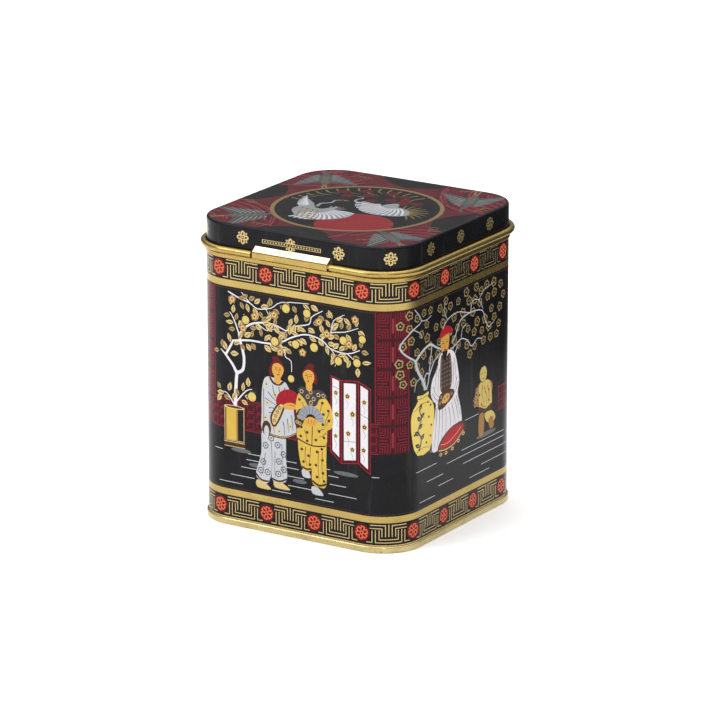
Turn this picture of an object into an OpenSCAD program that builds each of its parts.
// Square hinged-lid caddy tin in printed tinplate, lid closed.
// X runs along the front, the front faces -Y, Z is up, and the tin stands on Z = 0.

/* [Tin] */
// Width and depth of the printed body
tin_w = 76; // [64:1:110]
// Height from the foot to the top of the closed lid
tin_h = 98.4; // [80:0.1:160]
// Radius of the four upright corners, on the outside
corner_r = 13; // [9:0.5:20]
// Thickness of the tinplate with its inks and lacquer
sheet = 0.3; // [0.24:0.02:0.36]

/* [Foot] */
// Height of the seam that holds the bottom end
foot_h = 2.1; // [1.8:0.1:3]
// How far the foot seam stands out from the body
foot_out = 0.55; // [0.45:0.05:0.8]
// How far the bottom end is sunk above the foot
foot_sink = 2.4; // [2.2:0.1:4]

/* [Body top] */
// Height of the body's rim: the top of its upper seam
rim_z = 88.75; // [72:0.05:140]
// Height of the upper seam
rim_seam_h = 1.65; // [1.4:0.05:2.4]
// How far the upper seam stands out from the body
rim_out = 0.45; // [0.4:0.05:0.7]
// Height of the neck above the rim
neck_h = 5.85; // [4.5:0.05:8]
// Room between the neck and the lid's skirt
neck_gap = 0.4; // [0.3:0.05:0.6]
// Height of the neck's folded hem
hem_h = 1.8; // [1.2:0.1:3]

/* [Lid] */
// Bend radius between the lid's top and its skirt
edge_r = 0.8; // [0.6:0.1:2]
// Radius of the lid's rolled edge, at the middle of the sheet
curl_r = 0.95; // [0.85:0.05:1.3]
// Room between the rolled edge and the body's rim
curl_gap = 0.2; // [0.15:0.05:0.6]
// Angle that the rolled edge leaves open beside the skirt
curl_open = 60; // [40:5:90]

/* [Lift lip] */
// Width of the lip that lifts the lid
lip_w = 27.5; // [16:0.5:36]
// Height of the lip's top above the middle of the rolled edge
lip_rise = 2.55; // [2.2:0.05:4]
// How far the lip slopes down to its outer edge
lip_drop = 1.5; // [0.8:0.1:1.8]
// Height of the lip's upright front
lip_front = 2; // [1.2:0.1:2.2]
// Notch at each end of the lip
lip_notch = 0.75; // [0.4:0.05:1.2]

/* [Hinge] */
// Width of the hinge leaf on the back of the body
leaf_w = 26; // [22:1:32]
// Height of the hinge leaf's flat plate
leaf_h = 7.2; // [6:0.2:10]
// Width of each strap and knuckle
knuckle_w = 6; // [4:0.5:8]
// Distance between the middles of the two knuckles
knuckle_pitch = 18; // [14:1:20]
// Play between the wire and the lid's rolled edge
pin_play = 0.06; // [0.02:0.01:0.1]
// Length of the hinge wire
pin_len = 30; // [27:1:40]
// Radius of the rivets' shanks
rivet_r = 0.7; // [0.5:0.05:0.9]

/* [Hidden] */

ink_black = [0.12, 0.12, 0.13];
lacquer_gold = [0.80, 0.66, 0.32];
steel = [0.72, 0.72, 0.70];

half_w = tin_w / 2;
flat_w = tin_w - 2 * corner_r;

// The body's wall starts on the foot seam's floor and ends under the rim
seam_floor = 0.4;
wall_top = rim_z - sheet;
seam_leg = 1.9;
side_seam_w = 5;
side_seam_t = 3 * sheet;

// The rolled edge: its middle lies outside the skirt, and the hinge turns there
curl_x = curl_r - sheet / 2;
curl_z = rim_z + curl_gap + curl_r + sheet / 2;
curl_bore = curl_r - sheet / 2;
curl_proud = curl_x + curl_r + sheet / 2;
bed = 1;

// The lip's slope, and the sheet's thickness measured upright through it
lip_z = curl_z + lip_rise;
lip_slope = lip_drop / curl_proud;
lip_t = sheet * sqrt(1 + lip_slope * lip_slope);

// The hinge
pin_r = curl_bore - pin_play;
knuckle_r = pin_r + sheet;
knuckle_play = 0.35;
strap_x = rim_out;
slot_rise = knuckle_r + 0.3;
leaf_top = rim_z - rim_seam_h - 0.5;
leaf_corner = 1.2;
joggle = 0.6;
rivet_z = leaf_top - leaf_h / 2;
rivet_head_r = 2 * rivet_r;
rivet_head_h = 0.5;
rivet_tail_h = 0.35;

$fn = 96;
small = 48;

// A square plan with round corners, inset from the body's outer face
module plan(inset) {
    half = half_w - inset;
    r = corner_r - inset;
    square([2 * half, 2 * (half - r)], center = true);
    square([2 * (half - r), 2 * half], center = true);
    for (x = [-1, 1], y = [-1, 1])
        translate([x * (half - r), y * (half - r)]) circle(r);
}

// Runs an outline round the tin: its x is out from the body's face, its y is up
module round_tin() {
    for (side = [0:3])
        rotate(90 * side) {
            translate([-flat_w / 2, -half_w, 0])
                rotate([90, 0, 90])
                    linear_extrude(flat_w) mirror([1, 0]) children();
            translate([flat_w / 2, -flat_w / 2, 0])
                rotate(-90)
                    rotate_extrude(angle = 90) translate([corner_r, 0]) children();
        }
}

// Runs an outline along the front, centred on x: its x is out, its y is up
module along_front(width) {
    translate([-width / 2, -half_w, 0])
        rotate([90, 0, 90])
            linear_extrude(width) mirror([1, 0]) children();
}

// The same along the back
module along_back(x, width) {
    translate([x + width / 2, half_w, 0])
        rotate([90, 0, -90])
            linear_extrude(width) mirror([1, 0]) children();
}

// The outer hook of a seam: a strip with both outer edges rounded
module seam_hook(z, height, out) {
    round_r = out / 2;
    translate([0, z]) square([round_r, height]);
    translate([0, z + round_r]) square([out, height - 2 * round_r]);
    for (end = [round_r, height - round_r])
        translate([round_r, z + end]) circle(round_r, $fn = small);
}

module body_sleeve() {
    color(ink_black)
    difference() {
        union() {
            translate([0, 0, seam_floor])
                linear_extrude(wall_top - seam_floor)
                    difference() { plan(0); plan(sheet); }
            translate([-side_seam_w / 2, half_w - sheet - side_seam_t, foot_sink + 2 * sheet])
                cube([side_seam_w, side_seam_t + sheet / 2,
                      rim_z - seam_leg - bed - foot_sink - 2 * sheet]);
        }
        rivet_holes();
    }
}

module bottom_end() {
    color(lacquer_gold) {
        round_tin() {
            seam_hook(0, foot_h, foot_out);
            translate([-2 * sheet, 0]) square([2 * sheet + foot_out / 2, seam_floor]);
            translate([-2 * sheet, 0]) square([sheet, foot_sink + sheet]);
            translate([-2 * sheet - bed, foot_sink]) square([bed + sheet, sheet]);
        }
        translate([0, 0, foot_sink]) linear_extrude(sheet) plan(2 * sheet + bed / 2);
    }
}

module neck_ring() {
    neck_x = -sheet - neck_gap;
    color(lacquer_gold)
    round_tin() {
        seam_hook(rim_z - rim_seam_h, rim_seam_h, rim_out);
        translate([neck_x - sheet, wall_top]) square([rim_out / 2 - neck_x + sheet, sheet]);
        translate([-2 * sheet, rim_z - seam_leg]) square([sheet, seam_leg]);
        translate([neck_x - sheet, wall_top]) square([sheet, neck_h]);
        translate([neck_x - 2 * sheet, rim_z + neck_h - hem_h]) square([2 * sheet, hem_h - sheet]);
        translate([neck_x - sheet, rim_z + neck_h - sheet]) circle(sheet, $fn = small);
    }
}

// The skirt, the bend at the top, the margin of the top panel and the rolled edge
module lid_outline() {
    translate([-sheet, curl_z]) square([sheet, tin_h - edge_r - curl_z]);
    intersection() {
        translate([-edge_r, tin_h - edge_r])
            difference() {
                circle(edge_r, $fn = small);
                circle(edge_r - sheet, $fn = small);
            }
        translate([-edge_r, tin_h - edge_r]) square(edge_r);
    }
    translate([-edge_r - bed, tin_h - sheet]) square([bed, sheet]);
    rolled_edge();
}

module rolled_edge() {
    reach = 2 * curl_proud;
    translate([curl_x, curl_z])
        difference() {
            circle(curl_r + sheet / 2, $fn = small);
            circle(curl_bore, $fn = small);
            polygon([[0, 0], [-reach, 0], [-reach, reach],
                     [-reach * cos(curl_open), reach * sin(curl_open)]]);
        }
}

// A flat lip: out and down from the skirt, then straight down
module lip_outline() {
    front_z = lip_z - lip_drop;
    polygon([
        [-sheet, lip_z + bed],
        [0, lip_z + bed],
        [0, lip_z],
        [curl_proud, front_z],
        [curl_proud, front_z - lip_front],
        [curl_proud - sheet, front_z - lip_front],
        [curl_proud - sheet, front_z - lip_t + lip_slope * sheet],
        [-sheet, lip_z - lip_t + lip_slope * sheet],
    ]);
}

module lid_shell() {
    depth = curl_proud + sheet + 2 * bed;
    drop = curl_r + sheet;
    color(ink_black) {
        difference() {
            union() {
                round_tin() lid_outline();
                translate([0, 0, tin_h - sheet])
                    linear_extrude(sheet) plan(edge_r + bed / 2);
            }
            along_front(lip_w + 2 * lip_notch)
                translate([-sheet - bed, curl_z - drop - bed])
                    square([depth, lip_rise + drop + bed]);
            for (x = [-1, 1])
                along_back(x * knuckle_pitch / 2, knuckle_w + 2 * knuckle_play)
                    translate([-sheet - bed, curl_z - drop - bed])
                        square([depth, slot_rise + drop + bed]);
        }
        along_front(lip_w) lip_outline();
    }
}

module rivet_holes() {
    for (x = [-1, 1])
        translate([x * knuckle_pitch / 2, half_w - 2 * sheet, rivet_z])
            rotate([-90, 0, 0]) cylinder(r = rivet_r, h = 4 * sheet, $fn = small);
}

// One strap: over the rim's seam and round the wire
module strap_outline() {
    difference() {
        union() {
            polygon([
                [0, leaf_top - joggle],
                [sheet, leaf_top - joggle],
                [strap_x + sheet, leaf_top],
                [strap_x + sheet, curl_z],
                [strap_x, curl_z],
                [strap_x, leaf_top + sheet / 2],
                [0, leaf_top - joggle + sheet / 2],
            ]);
            translate([curl_x, curl_z]) circle(knuckle_r, $fn = small);
        }
        translate([curl_x, curl_z]) circle(pin_r, $fn = small);
    }
}

module hinge_leaf() {
    color(lacquer_gold)
    difference() {
        union() {
            translate([0, half_w + sheet, leaf_top - joggle])
                rotate([90, 0, 0])
                    linear_extrude(sheet) {
                        translate([-leaf_w / 2, -leaf_h + leaf_corner + joggle])
                            square([leaf_w, leaf_h - leaf_corner - joggle]);
                        translate([-leaf_w / 2 + leaf_corner, -leaf_h + joggle])
                            square([leaf_w - 2 * leaf_corner, leaf_corner]);
                        for (x = [-1, 1])
                            translate([x * (leaf_w / 2 - leaf_corner),
                                       -leaf_h + leaf_corner + joggle])
                                circle(leaf_corner, $fn = small);
                    }
            for (x = [-1, 1])
                along_back(x * knuckle_pitch / 2, knuckle_w) strap_outline();
        }
        rivet_holes();
    }
}

module hinge_wire() {
    color(steel)
    translate([-pin_len / 2, half_w + curl_x, curl_z])
        rotate([0, 90, 0]) cylinder(r = pin_r, h = pin_len, $fn = small);
}

// Two rivets: a flat head outside the leaf, a shank and a spread tail inside the wall
module hinge_rivets() {
    color(steel)
    for (x = [-1, 1])
        translate([x * knuckle_pitch / 2, half_w - sheet, rivet_z])
            rotate([-90, 0, 0]) {
                cylinder(r = rivet_r, h = 2 * sheet, $fn = small);
                translate([0, 0, 2 * sheet])
                    cylinder(r = rivet_head_r, h = rivet_head_h, $fn = small);
                translate([0, 0, -rivet_tail_h])
                    cylinder(r = 1.6 * rivet_r, h = rivet_tail_h, $fn = small);
            }
}

body_sleeve();
bottom_end();
neck_ring();
lid_shell();
hinge_leaf();
hinge_wire();
hinge_rivets();
